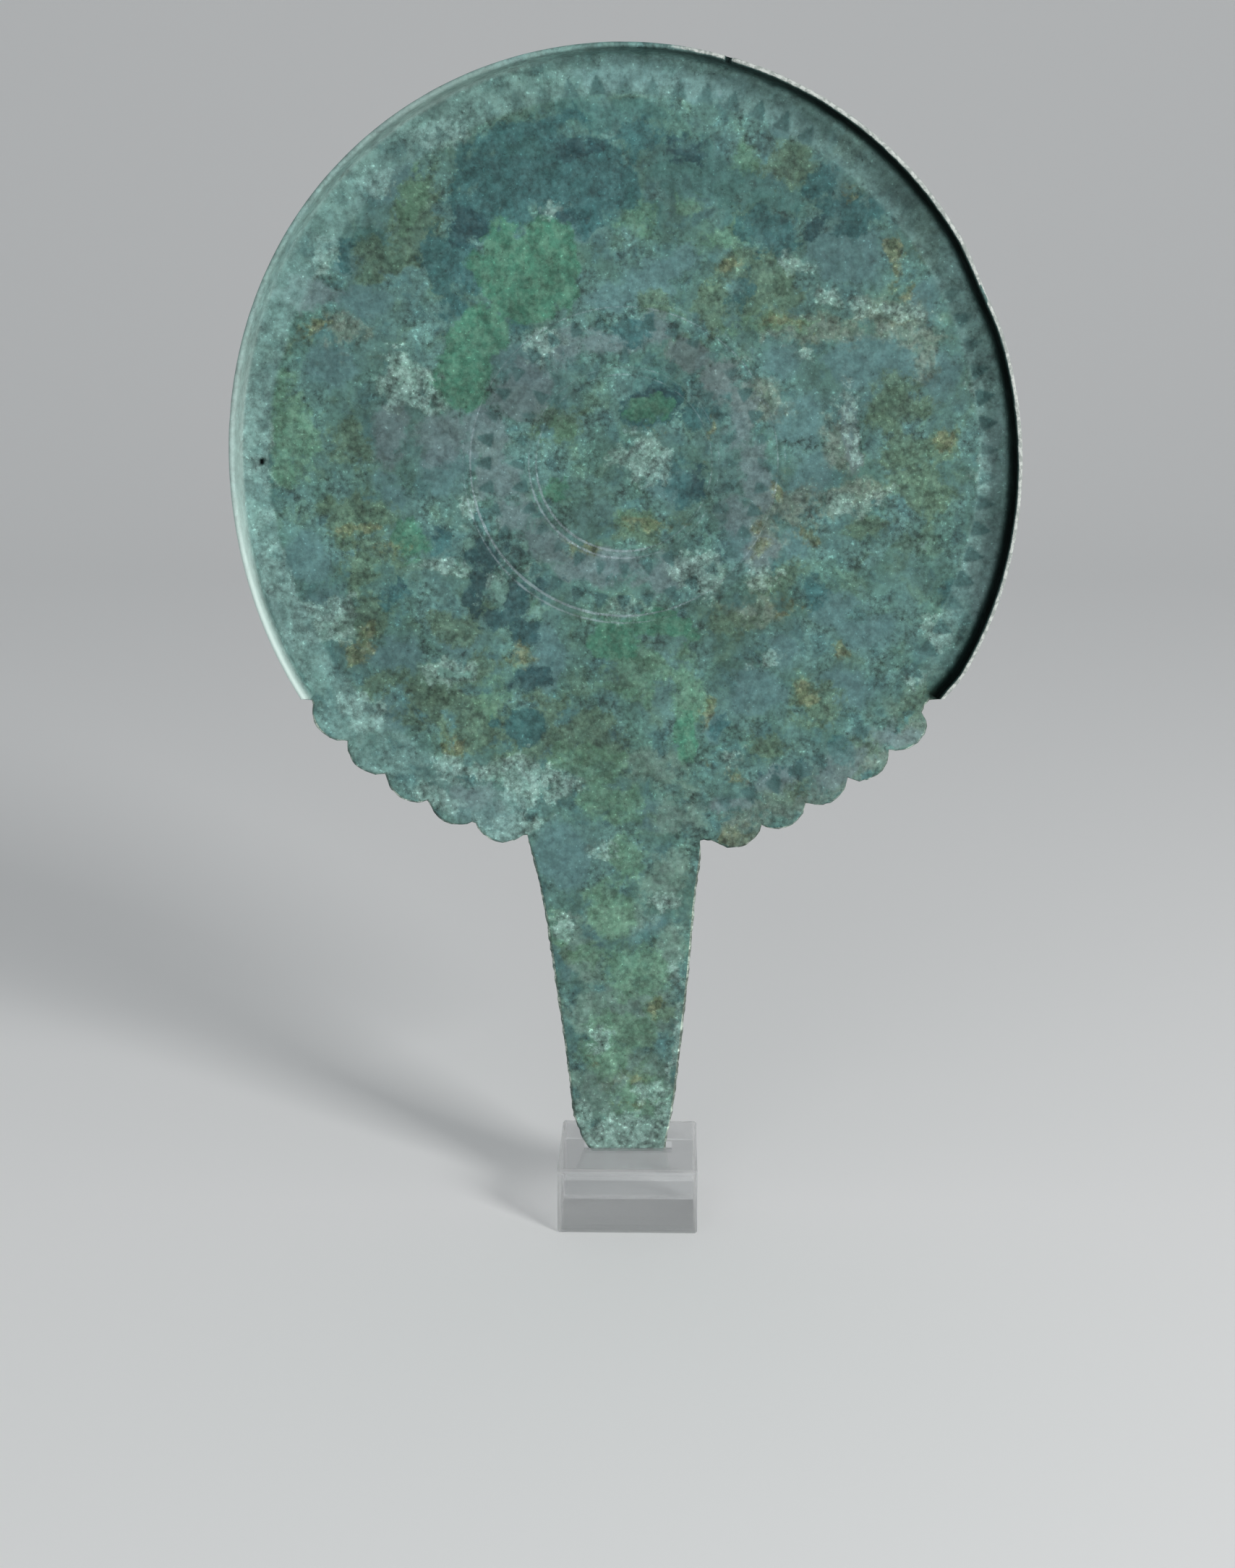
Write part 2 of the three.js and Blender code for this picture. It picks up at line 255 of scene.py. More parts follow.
def plate_radius(angle):
    """The plate's own edge, about the disc's centre."""
    angle %= 360
    if angle <= FLANGE_LEFT_END or angle >= FLANGE_RIGHT_END + 360:
        return rim_radius(angle) - PLATE_INSET
    if LEFT_END < angle < LEFT_START:
        return scallop((LEFT_START - angle) / SCALLOP_PITCH, LEFT_REACH)
    if RIGHT_START < angle < CHIP_START:
        return scallop((angle - RIGHT_START) / SCALLOP_PITCH, RIGHT_REACH)
    return between(LOWER_RIM, angle)


def reach_from_engraving(direction, outline):
    """How far an outline is from the engraving's centre, and its angle about the disc's centre."""
    reach = RIM_RADIUS
    for _ in range(6):
        x = ENGRAVING_X + reach * math.cos(direction)
        z = ENGRAVING_Z + reach * math.sin(direction)
        angle, radius = corner(x - DISC_X, z)
        reach += outline(angle) - radius
    return reach, angle


# ---- the mirror's mesh ----

def turned(form, points, doublings):
    """Turns a chain of points, as radius, depth and ring number, into rings about the Y axis.

    One sector is spun, and the whole round is made by doubling it the given number of times.
    """
    number = form.verts.layers.int["ring"]
    chain = []
    for radius, depth, ring in points:
        vert = form.verts.new((radius, depth, 0))
        vert[number] = ring
        chain.append(vert)
    edges = [form.edges.new(pair) for pair in zip(chain, chain[1:])]
    sector = 2 * math.pi / 2 ** doublings
    before = len(form.faces)
    bmesh.ops.spin(
        form, geom=chain + edges, cent=(0, 0, 0), axis=(0, -1, 0), angle=sector,
        steps=SECTOR_SPOKES, use_merge=not doublings, use_duplicate=False,
    )
    for doubling in range(doublings):
        form.faces.ensure_lookup_table()
        faces = form.faces[before:]
        copies = bmesh.ops.duplicate(form, geom=faces)["geom"]
        verts = [item for item in copies if isinstance(item, bmesh.types.BMVert)]
        turn = Matrix.Rotation(-sector * 2 ** doubling, 3, "Y")
        bmesh.ops.rotate(form, verts=verts, cent=(0, 0, 0), matrix=turn)


def open_loops(form, depth):
    """The open edges on one face of the plate, grouped by radius, from the middle outwards."""
    loops = {}
    for edge in form.edges:
        if edge.is_boundary and all(abs(v.co.y - depth) < 0.01 for v in edge.verts):
            radius = max(math.hypot(v.co.x, v.co.z) for v in edge.verts)
            loops.setdefault(round(radius, 2), []).append(edge)
    return [loops[radius] for radius in sorted(loops)]


def radii(start, end, step):
    """Evenly spaced radii, both ends included."""
    count = max(round((end - start) / step), 1)
    return [start + (end - start) * i / count for i in range(count + 1)]


def face_of_plate(form, zones, depth, inner):
    """One face's rings from a small hole outwards. Each zone has twice the last one's spokes."""
    for doublings, outer, step in zones:
        turned(form, [(radius, depth, 0) for radius in radii(inner, outer, step)], doublings)
        inner = outer + step
    return inner


def bare_disc():
    """The plate and the flange as a true round, before the rim is shaped and the handle grows."""
    form = bmesh.new()
    form.verts.layers.int.new("ring")
    field_start = face_of_plate(form, FRONT_ZONES, FRONT_Y, FRONT_HOLE)
    back_start = face_of_plate(form, BACK_ZONES, BACK_Y, BACK_HOLE)
    front_edge = RIM_RADIUS - FLANGE_SECTION[0][0]
    back_edge = RIM_RADIUS - FLANGE_SECTION[-1][0]
    chain = [(radius, FRONT_Y, 0) for radius in radii(field_start, BAND_START, FIELD_STEP)]
    chain += [(radius, FRONT_Y, 0) for radius in radii(BAND_START, front_edge, BAND_STEP)[1:-1]]
    chain += [(RIM_RADIUS - inset, y, ring + 1) for ring, (inset, y) in enumerate(FLANGE_SECTION)]
    chain += [(radius, BACK_Y, 0) for radius in reversed(radii(back_start, back_edge, BACK_STEP)[:-1])]
    turned(form, chain, RIM_DOUBLINGS)
    bmesh.ops.remove_doubles(form, verts=form.verts, dist=WELD)
    for depth in (FRONT_Y, BACK_Y):
        loops = open_loops(form, depth)
        for inner, outer in zip(loops[1::2], loops[2::2]):
            bmesh.ops.triangle_fill(
                form, edges=inner + outer, use_beauty=True, use_dissolve=False, normal=(0, depth, 0))
        cap = bmesh.ops.contextual_create(form, geom=loops[0])["faces"]
        bmesh.ops.poke(form, faces=cap)
    return form


def edge_profile(ring):
    """A plain edge of the plate, as inset and depth, at one of the section's rings."""
    turn = math.pi * ring / (len(FLANGE_SECTION) - 1)
    inset = EDGE_INSET * (1 - math.sin(turn) ** EDGE_FULLNESS)
    depth = -BACK_Y * math.copysign(abs(math.cos(turn)) ** EDGE_FULLNESS, math.cos(turn))
    return inset, depth


KNOWN_SPOKES = {}


def spoke_facts(direction):
    """Where a spoke meets the lip and the plate's edge, and whether it carries the flange."""
    key = round(direction, 5)
    if key not in KNOWN_SPOKES:
        lip_reach = reach_from_engraving(direction, rim_radius)[0]
        plate_reach, angle = reach_from_engraving(direction, plate_radius)
        wall_foot = lip_reach - FLANGE_SECTION[FIRST_WALL][0]
        flanged = ENGRAVING_Z + wall_foot * math.sin(direction) >= FLANGE_END_Z
        KNOWN_SPOKES[key] = lip_reach, plate_reach, angle, flanged
    return KNOWN_SPOKES[key]


def shape_rim(form):
    """Eases the outer rings out to the lip or the scallops, and cuts the flange's ends level."""
    number = form.verts.layers.int["ring"]
    for vert in form.verts:
        radius = math.hypot(vert.co.x, vert.co.z)
        if radius > SHAPED_FROM:
            direction = math.atan2(vert.co.z, vert.co.x)
            lip_reach, plate_reach, _, flanged = spoke_facts(direction)
            ring = vert[number] - 1
            if ring >= 0:
                inset, depth = FLANGE_SECTION[ring] if flanged else edge_profile(ring)
                target = (lip_reach if flanged else plate_reach) - inset
                vert.co.y = depth
            else:
                last_inset = FLANGE_SECTION[0 if vert.co.y < 0 else -1][0]
                last = lip_reach - last_inset if flanged else plate_reach - EDGE_INSET
                share = (radius - SHAPED_FROM) / (RIM_RADIUS - last_inset - SHAPED_FROM)
                target = SHAPED_FROM + share * (last - SHAPED_FROM)
            vert.co.x *= target / radius
            vert.co.z *= target / radius
        vert.co.x += ENGRAVING_X
        vert.co.z += ENGRAVING_Z
        if radius > SHAPED_FROM and flanged and FIRST_WALL <= ring <= LAST_WALL:
            if vert.co.z < FLANGE_END_Z:
                out = math.hypot(vert.co.x - DISC_X, vert.co.z - DISC_Z)
                across = math.sqrt(out ** 2 - (FLANGE_END_Z - DISC_Z) ** 2)
                vert.co.x = DISC_X + math.copysign(across, vert.co.x)
                vert.co.z = FLANGE_END_Z


def in_handle(vert):
    """Whether a vertex is on a spoke that runs into the handle."""
    direction = math.atan2(vert.co.z - ENGRAVING_Z, vert.co.x - ENGRAVING_X)
    return NECK_LEFT[0] <= spoke_facts(direction)[2] <= NECK_RIGHT[0]


def flowing(points):
    """A line through points, with a few more points between them on a smooth curve."""
    ends = [points[0], *points, points[-1]]
    line = []
    for before, start, end, after in zip(ends, ends[1:], ends[2:], ends[3:]):
        for step in range(CURVE_STEPS):
            t = step / CURVE_STEPS
            place = []
            for a, b, c, d in zip(before, start, end, after):
                slope_in, slope_out = (c - a) / 2, (d - b) / 2
                place.append(
                    b + slope_in * t + (3 * (c - b) - 2 * slope_in - slope_out) * t ** 2
                    + (2 * (b - c) + slope_in + slope_out) * t ** 3
                )
            line.append(tuple(place))
    return line + [points[-1]]


LEFT_LINE = sorted((z, DISC_X + x) for x, z in flowing(HANDLE_LEFT))
RIGHT_LINE = sorted((z, DISC_X + x) for x, z in flowing(HANDLE_RIGHT))


def grow_handle(form):
    """Opens the rim between the necks and draws the opening down to the foot, row by row."""
    number = form.verts.layers.int["ring"]
    ring_of_back = len(FLANGE_SECTION)
    band = [
        face for face in form.faces
        if all(vert[number] >= 1 for vert in face.verts) and all(in_handle(v) for v in face.verts)
    ]
    bmesh.ops.delete(form, geom=band, context="FACES")
    edges = [edge for edge in form.edges if edge.is_boundary]
    names = ("share", "offset", "top", "drift")
    share, offset, top, drift = (form.verts.layers.float.new(name) for name in names)
    opening = {vert for edge in edges for vert in edge.verts}
    left = min(vert.co.x for vert in opening)
    right = max(vert.co.x for vert in opening)
    for vert in opening:
        level = between(LEFT_LINE, vert.co.z), between(RIGHT_LINE, vert.co.z)
        if vert[number] in (1, ring_of_back):
            inner_left, inner_right = left + EDGE_INSET / 3, right - EDGE_INSET / 3
            vert[share] = min(max((vert.co.x - inner_left) / (inner_right - inner_left), 0), 1)
            vert[offset] = EDGE_INSET * (1 - 2 * vert[share])
        else:
            on_right = vert.co.x > DISC_X
            vert[share] = float(on_right)
            inset = edge_profile(vert[number] - 1)[0]
            vert[offset] = -inset if on_right else inset
        vert[top] = vert.co.z
        vert[drift] = vert.co.x - (level[0] + (level[1] - level[0]) * vert[share] + vert[offset])
    rows = round((max(vert.co.z for vert in opening) - FOOT_Z) / HANDLE_ROW)
    for row in range(1, rows + 1):
        made = bmesh.ops.extrude_edge_only(form, edges=edges)["geom"]
        edges = [item for item in made if isinstance(item, bmesh.types.BMEdge) and item.is_boundary]
        for vert in (item for item in made if isinstance(item, bmesh.types.BMVert)):
            vert.co.z = vert[top] + (FOOT_Z - vert[top]) * row / rows
            left, right = between(LEFT_LINE, vert.co.z), between(RIGHT_LINE, vert.co.z)
            settled = 1 - smooth(0, NECK_FADE, vert[top] - vert.co.z)
            vert.co.x = left + (right - left) * vert[share] + vert[offset] + vert[drift] * settled
    sole = bmesh.ops.contextual_create(form, geom=edges)["faces"]
    bmesh.ops.triangulate(form, faces=sole)


# ---- relief ----

def ring_distance(x, z):
    """How far a place is from the engraving's centre."""
    return math.hypot(x - ENGRAVING_X, z - ENGRAVING_Z)


def tongue_depth(x, z, radius):
    """How deep the sunk tongues are at a place, from 0 to 1."""
    deepest = 0
    for base, length, width, count in TONGUE_ROWS:
        up = (radius - base) / length
        if -0.1 < up < 1.1:
            pitch = 360 / count
            angle = math.degrees(math.atan2(z - ENGRAVING_Z, x - ENGRAVING_X)) - 90
            off = (angle + pitch / 2) % pitch - pitch / 2
            across = abs(math.radians(off)) * radius
            half = width / 2 * (1 - TONGUE_TAPER * up)
            if up >= 0.5:
                half = width / 2 * (2 - TONGUE_TAPER) * (1 - up)
            side = smooth(-0.5, 0.7, half - across)
            here = side * smooth(-0.1, 0.15, up) * smooth(1.1, 0.85, up)
            if base > RING_RADII[-1]:
                clear = max(1 - away(angle + 90, at) / spread for at, spread in TONGUES_CLEAR)
                here *= TONGUES_LEAST + (1 - TONGUES_LEAST) * smooth(0, 0.6, clear)
            deepest = max(deepest, here)
    return deepest


def groove_depth(radius):
    """How deep the double rings' grooves are at a radius, from 0 to 1."""
    return max(1 - abs(radius - ring) / RING_HALF_WIDTH for ring in RING_RADII)


def bumps(place, size, height, fewest):
    """The height of scattered round bumps. Fewer stay as the last number nears 1."""
    distances, centres = noise.voronoi(place / size)
    keep = noise.cell(centres[0] * 7.3) * 0.5 + 0.5
    return height * max(0, 1 - distances[0] * 2.2) if keep > fewest else 0


def crust(place):
    """The height of the corrosion crust at a place, away from the engraving."""
    height = 0
    for fine, tall, rough, layers in CRUST_WAVES:
        height += tall * noise.fractal(place * fine, rough, FINER, layers)
    return height + bumps(place, **WARTS) - bumps(place + Vector((50, 0, 9)), **HOLLOWS)


def how_worn(place):
    """The share of the engraving's depth that is left at a place, about 0.75."""
    return 0.75 + 0.5 * noise.noise(place * 0.09)


# ---- where the corrosion's colours lie ----

# Patches on the decorated face, as the middle's x and z, half width, half height and, where one
# isn't upright, its lean.
EMERALD = [
    (-25, 203, 6.5, 9), (-17, 204, 6.5, 9), (-13.8, 202, 4, 7.5, 12), (-21, 197, 9, 4.5, -8),
    (-32, 186, 6, 10, -15), (-28, 190, 5, 6), (-36, 181, 4, 6), (-33, 177, 5, 5), (-14, 157, 3.2, 2.6),
    (7, 130, 8, 3.5, -10), (-3, 127, 6, 5), (12, 106, 3, 5), (5, 175, 5, 3), (-44, 148, 4, 4),
]
SPRING = [
    (-67, 169, 4.5, 8), (-71, 178, 2.5, 5), (-20, 225, 4, 2), (-17, 203, 4, 6, 10), (2, 213, 4, 4),
    (13, 216, 4, 3), (25, 224, 4, 2.5), (21, 209, 6, 3, 20), (-3, 68, 5, 8), (-15, 65, 4, 4),
    (-43, 215, 3, 6), (-19, 134, 2.2, 2), (2, 151, 6, 2.2), (-14, 170, 4, 3), (-8, 59, 4, 3),
    (30, 191, 8, 1.6, -5), (-39, 121, 4, 3), (-27, 115, 4, 4), (3, 54, 8, 7), (-4, 36, 7, 6),
    (4, 26, 6, 5), (-3, 92, 8, 4), (-9, 101, 8, 5), (13, 116, 3.5, 8), (0, 41, 8, 5), (1, 79, 4, 6),
    (2, 120, 7, 6), (-70, 163, 4, 6),
]
AZURE = [
    (45, 205, 8, 7), (51, 184, 12, 5), (31, 185, 5, 4), (9, 204, 7, 3.5, 10), (-47, 219, 6, 3, 35),
    (-53, 196, 6, 5), (-57, 204, 3, 3), (-60, 184, 6, 5), (-22, 184, 6, 5), (-48, 157, 4, 3.5),
    (-37, 163, 5, 6), (27, 116, 7, 6), (46, 117, 7, 4), (19, 108, 3, 4), (24, 147, 6, 4), (34, 146, 4, 4),
    (-17, 122, 4, 8), (-66, 144, 5, 6), (-64, 136, 5, 4), (-13, 80, 6, 7), (5, 65, 5, 3),
    (-12, 55, 2.5, 3), (-10, 212, 3.5, 5), (44, 134, 6, 4), (60, 196, 4, 5), (-1, 198, 8, 3),
    (35, 172, 6, 6), (50, 129, 6, 4), (-30, 90, 5, 3), (9, 160, 6, 5), (0, 240, 11, 3),
    (17, 238, 9, 3, -12), (33, 231, 7, 3, -28), (-48, 111, 4, 3), (-36, 127, 4, 3), (5, 200, 6, 4),
    (38, 160, 5, 6), (33, 125, 5, 4), (8, 90, 7, 4), (-48, 124, 6, 4), (64, 182, 4, 6),
]
DEEP = [
    (-16, 222, 18, 7, 5), (-27, 214, 9, 5.5), (3, 228, 7, 3, -5), (-6, 219, 9, 6), (-20, 229, 12, 3, 10),
    (-24, 222, 8, 5, 15), (-38, 203, 3.5, 7, 10), (-33, 204, 4, 7), (-36, 196, 3, 5), (-8, 213, 4, 4),
    (5, 176, 6, 5), (12, 160, 4, 4), (-48, 136, 3.5, 3), (-38, 146, 3.5, 3), (68, 137, 3, 2.5),
    (38, 137, 3.5, 3), (29, 210, 6, 5), (-10, 224, 6, 5), (45, 104, 2.5, 2.5), (49, 108, 2.5, 2),
    (36, 98, 3, 2), (-68, 220, 2, 4, -40), (-57, 205, 3, 2.5, 30), (20, 108, 2.2, 2.5), (0, 190, 4, 3),
    (-23, 192, 3, 2.5), (16, 175, 4, 3), (52, 215, 4, 3), (40, 220, 4, 4), (10, 164, 3, 3),
    (45, 214, 5, 4), (23, 199, 4, 3), (-22, 108, 5, 4),
]
OLIVE = [
    (-42, 212, 5, 9), (-50, 204, 6, 4), (-38, 200, 3, 5), (33, 223, 6, 5), (27, 211, 5, 4),
    (27, 199, 4, 6), (33, 196, 4, 4), (17, 195, 4, 4.5), (-56, 152, 7, 5), (-50, 146, 5, 3),
    (-56, 141, 5, 4), (-53, 132, 6, 4.5, 20), (-40, 114, 9, 5), (-52, 118, 5, 3), (-31, 121, 5, 4),
    (-30, 109, 9, 6), (50, 104, 7, 3.5, 35), (61, 115, 5, 3.5, 50), (36, 95, 6, 3, 20), (-30, 134, 3, 2),
    (-16, 113, 6, 4), (-8, 107, 8, 6), (-20, 104, 8, 5), (37, 115, 4, 5), (55, 176, 6, 6),
    (65, 166, 3.5, 5), (2, 150, 8, 3), (-14, 172, 5, 5), (57, 166, 6, 5), (8, 45, 5, 3), (2, 31, 4, 3),
    (-13, 59, 3, 3), (7, 196, 4, 3), (30, 104, 5, 4), (33, 140, 5, 4), (50, 150, 6, 3), (-55, 168, 5, 5),
    (45, 226, 4, 4), (12, 186, 5, 4), (60, 208, 3, 5), (21, 131, 5, 3), (60, 159, 7, 6), (-36, 130, 5, 4),
    (26, 202, 9, 6), (41, 113, 6, 5),
]
RUST = [
    (52, 157, 2.6, 1.8), (39, 155, 1.8, 1.6), (31, 159, 1.3, 3.5), (38, 148, 3, 1.3, -35),
    (28, 150, 1.2, 3), (29, 140, 2.2, 1), (32, 191, 3, 1, -5), (38, 187, 1.5, 1.2),
    (-62, 190, 4, 1.6, 15), (-55, 150, 4, 1), (-54, 128, 1.6, 4.5, -20), (-48, 146, 3, 1),
    (54, 205, 1.6, 4.5, 10), (57, 198, 1.2, 3, -15), (57, 192, 4, 1.2), (44, 218, 1.6, 1.2),
    (17, 112, 1.1, 3.5), (17, 100, 2, 1.6), (23, 98, 2, 1.5), (37, 115, 2.5, 3), (-35, 105, 2.5, 2),
    (4, 150, 5, 1.2), (42, 126, 3, 1.4, -20), (-7, 34, 1.2, 1), (2, 30, 2, 1), (7, 46, 1.2, 3, -20),
    (1, 25, 3, 0.8), (24.5, 84.6, 4.6, 2.6, 10), (66, 168, 1.4, 3), (17, 172, 0.9, 5), (-57, 124, 2, 1.6),
    (-10, 147, 2.5, 1.2), (21, 203, 2, 1.4), (34, 134, 2, 1), (-22, 123, 1.6, 1.6), (8, 170, 1.5, 1),
]
CHALK = [
    (-45, 180, 6, 6, -20), (-46, 184, 4, 3), (-42, 176, 4, 3), (-31, 153, 4, 3), (-38, 142, 3, 1.6),
    (-27, 137.5, 2.8, 2.2, 20), (-19, 142, 1.6, 1.5), (-37, 121, 5, 3.5), (-58, 114, 4, 3),
    (-54, 111, 3, 2), (-21, 97, 6, 6), (-14, 94, 5, 4), (-35, 99, 8, 2.5), (0, 168, 1.4, 1.6),
    (4, 164, 7, 5), (14, 143, 4, 4), (17, 139, 3, 3), (0, 133, 3, 2), (23, 102, 3.2, 2.4),
    (46, 177, 1.2, 3), (46, 171, 1.6, 7), (45, 175, 4, 2, 20), (46, 155, 4, 2), (52, 156, 4, 2.5),
    (35, 203, 4, 1.4, -35), (41, 197, 4, 1.5, -10), (46, 195, 3, 1.6, -20), (57, 193, 5, 2, -10),
    (60, 121, 3, 3), (65, 127, 4, 2, -50), (29, 141, 3, 2), (9, 71, 3, 2.6, 10), (11, 55, 2.2, 4),
    (6, 27, 3, 1.8, 15), (-5, 39, 4, 2.5), (-13, 66, 4, 2.5), (-5, 82, 2.5, 2.5), (73, 163, 2, 3),
    (72, 179, 1.6, 2.5), (-17, 187, 4, 3), (-15, 216, 1, 1), (-64, 131, 8, 6), (-62, 205, 4, 3, 45),
    (-36, 229, 5, 2.5, 30), (-49, 219, 3, 2, 40), (-75, 168, 3, 12, 4), (-72, 140, 3, 9, 20),
    (30, 123, 4, 1.5, 10), (37, 186, 3, 1.5), (-1, 14, 13, 8.5), (8, 20, 2.5, 7), (11, 38, 1.2, 12, -8),
    (-9, 24, 2, 4), (-40, 93, 6, 2, -25), (-24, 87, 6, 3),
]
MAUVE = [
    (-21, 178, 7, 7), (-13, 187, 5, 4), (-37, 168, 6, 5), (-29, 172, 5, 5), (-4, 187, 7, 3),
    (13, 185, 6, 3.5, -20), (20, 180, 5, 5), (24, 172, 4, 7), (27, 160, 3.5, 9), (-22, 153, 5, 4),
    (-16, 147, 5, 4), (-5, 142, 10, 4), (10, 141, 7, 4, 10), (22, 152, 4, 5), (28, 146, 3, 5),
    (46, 170, 2, 10), (-48, 170, 4, 7), (33, 97, 6, 2.5, 10), (45, 99, 8, 3, 30), (57, 107, 5, 3),
    (74, 140, 3, 12, -12), (75, 165, 2, 10), (-63, 198, 6, 4), (-33, 94, 6, 2.5), (23, 91, 6, 2),
    (6, 190, 5, 3), (-24, 160, 4, 4), (-28, 162, 3, 6),
]
NAVY = [
    (-29, 144, 3.6, 4, -20), (-31, 137.5, 2, 5), (-23, 135.5, 3, 5), (-27, 131.5, 3.6, 2),
    (-16.5, 139, 3, 2.6), (-21, 128.5, 2.4, 3), (-21, 117, 5, 2.4, 15), (5, 176, 5.5, 4, -10),
    (-48, 137, 1.8, 1.6), (14, 161, 2, 3), (-24, 146, 2, 2, 35), (29, 98, 1.6, 1.4), (-4, 127, 1.4, 1.6),
    (-32, 211, 3, 3), (-10, 226, 5, 2.2, 10), (21, 146, 2, 2.4), (-40, 149, 2.2, 1.8),
    (12, 226, 4, 1.8, -10), (-28, 190, 1.6, 2.6), (-14, 213, 3, 2), (39, 211, 3, 2),
]
TEAL = [
    (15, 222, 12, 6, -12), (0, 214, 10, 4), (25, 212, 7, 5), (-4, 232, 14, 3), (30, 218, 7, 4, -30),
    (-50, 206, 5, 5), (5, 181, 6, 4), (-14, 176, 4, 4),
]
UMBER = [
    (35, 155, 9, 4.5), (48, 157, 6, 3.5), (55, 192, 9, 3.5, -15), (36, 190, 10, 3, -8),
    (50, 100, 9, 3.5, 35), (34, 92, 10, 3, 18), (25, 87, 6, 3), (60, 108, 5, 3, 45), (60, 188, 3, 9, 10),
    (29, 150, 3, 9), (25, 133, 6, 3), (20, 180, 5, 5), (28, 176, 5, 6), (44, 167, 4, 8), (-57, 190, 5, 4),
    (0, 30, 5, 2),
]
SAGE = [
    (0, 30, 12, 9), (2, 18, 11, 6), (0, 45, 14, 8), (9, 58, 4, 9, -8), (-9, 58, 4, 9, 12), (9, 76, 5, 7),
    (-2, 66, 8, 4), (12, 90, 6, 5), (6, 100, 6, 4),
]
MINT = [
    (-26.5, 136.5, 3, 2.5, 30), (-18.5, 133.4, 2.2, 1.6), (-33, 146, 2.2, 1.4, 30),
    (-36, 120, 3, 1.6, -20), (-20, 146, 1.4, 1.6),
]
PATCHES = {
    "sage": SAGE, "teal": TEAL, "umber": UMBER,
    "emerald": EMERALD, "spring": SPRING, "azure": AZURE, "deep": DEEP, "olive": OLIVE,
    "rust": RUST, "chalk": CHALK, "mauve": MAUVE, "navy": NAVY, "mint": MINT,
}


def wandered(place):
    """A place moved a little, so that a patch's border wanders."""
    moved = place.copy()
    for fine, far in WANDER:
        moved += noise.noise_vector(place * fine) * far
    return moved


def lay_patches(mesh):
    """Writes each finish's patches on the decorated face as a number at every vertex."""
    places = kdtree.KDTree(len(mesh.vertices))
    wandering = []
    for vert in mesh.vertices:
        place = wandered(vert.co)
        place.y = 0 if vert.co.y < FRONT_HALF else OUT_OF_REACH
        wandering.append(place)
        places.insert(place, vert.index)
    places.balance()
    for name, patches in PATCHES.items():
        values = [-1.0] * len(mesh.vertices)
        for x, z, half_width, half_height, *lean in patches:
            turn = math.radians(sum(lean))
            size = math.sqrt(half_width * half_height)
            reach = max(half_width, half_height) * (1 + PATCH_SPAN / size)
            for place, index, _ in places.find_range(Vector((x, 0, z)), reach):
                right, up = place.x - x, place.z - z
                across = (right * math.cos(turn) + up * math.sin(turn)) / half_width
                along = (up * math.cos(turn) - right * math.sin(turn)) / half_height
                inside = (1 - math.hypot(across, along)) * size / PATCH_SPAN
                values[index] = max(values[index], min(inside, 1.0))
        attribute = mesh.attributes.new(name, "FLOAT", "POINT")
        attribute.data.foreach_set("value", values)


# ---- the mirror ----

def on_front(vert):
    """Whether a vertex lies on the decorated face, inside the flange."""
    return vert.co.y < FRONT_Y + 0.05 and ring_distance(vert.co.x, vert.co.z) < BAND_END


def rim_facts(vert, at):
    """A vertex's angle, its radius, its inset from the lip, and how far round the rim a place is."""
    angle, radius = corner(vert.co.x - DISC_X, vert.co.z)
    return angle, radius, rim_radius(angle) - radius, math.radians(away(angle, at)) * radius


def nick_drop(vert):
    """How far back the lip's nick pushes a point of the flange."""
    aside = rim_facts(vert, LIP_NICK["at"])[-1]
    floor = LIP_Y + LIP_NICK["depth"] * (1 - aside / LIP_NICK["half_width"])
    return max(floor - vert.co.y, 0) if aside < LIP_NICK["half_width"] else 0


def burr(vert):
    """The height of the small burr on the lip."""
    aside = rim_facts(vert, LIP_BURR["at"])[-1]
    return LIP_BURR["height"] * max(1 - aside / LIP_BURR["half_width"], 0)


def finish_flange(vert, layer):
    """Says where a highlight is painted on the lip, and paints shade in its nick."""
    angle, _, inset, aside = rim_facts(vert, LIP_NICK["at"])
    # The lip gets a painted highlight, strongest along the stretch that faces the light and beside the
    # nick; worn holds its strength. The nick gets painted shade.
    lit_stretch = smooth(LIP_HIGHLIGHT_STRETCH["fade"], 0, away(angle, LIP_HIGHLIGHT_STRETCH["at"]) - LIP_HIGHLIGHT_STRETCH["half_width"])
    nick = smooth(LIP_NICK["half_width"], LIP_NICK["half_width"] / 3, aside)
    worn = max(lit_stretch, LIP_HIGHLIGHT_STRETCH["least"], smooth(*NICK_HIGHLIGHT, aside)) * (1 - nick)
    vert[layer["lip"]] = smooth(*LIP_HIGHLIGHT_DEPTHS, -vert.co.y) * smooth(*LIP_HIGHLIGHT_INSETS, inset) * worn
    vert[layer["painted_shade"]] = nick * smooth(*NICK_REACH, inset) * NICK_SHADE


